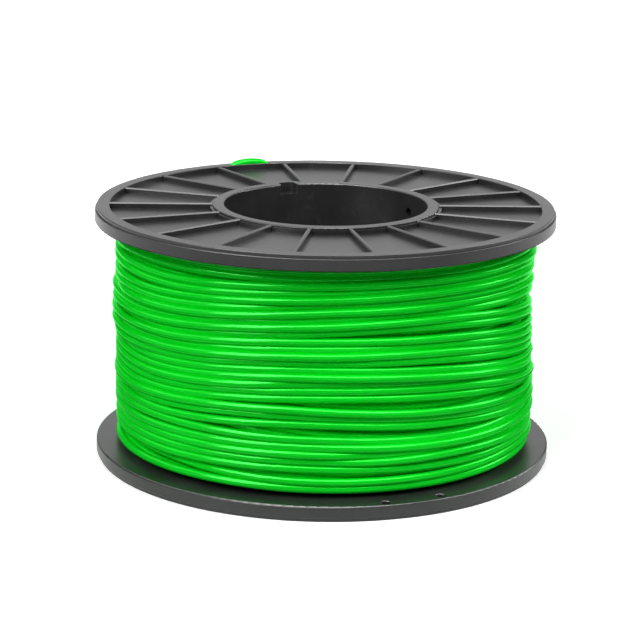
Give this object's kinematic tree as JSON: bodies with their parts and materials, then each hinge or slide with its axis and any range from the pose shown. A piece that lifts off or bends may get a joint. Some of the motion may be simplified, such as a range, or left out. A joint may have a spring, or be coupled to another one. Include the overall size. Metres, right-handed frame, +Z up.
{
  "type": "wire spool",
  "caption": "Black ribbed plastic spool wound full of green single-core insulated wire, its end threaded through the rim.",
  "frame": {"origin": "centre of the lower flange's foot, on the surface the spool stands on", "axes": "+Z up along the spool's axis; -Y is the side the picture shows"},
  "size_m": [0.16, 0.16, 0.0909],
  "materials": {
    "black_plastic": "moulded, satin to glossy",
    "green_insulation": "extruded, glossy",
    "copper": "bare drawn copper"
  },
  "bodies": {
    "root": {"upper_flange": "black_plastic", "lower_flange": "black_plastic", "barrel": "black_plastic", "winding_inner_layers": "green_insulation", "winding_outer_layer": "green_insulation", "wire_end_loop": "green_insulation", "wire_end_conductor": "copper"}
  },
  "joints": []
}
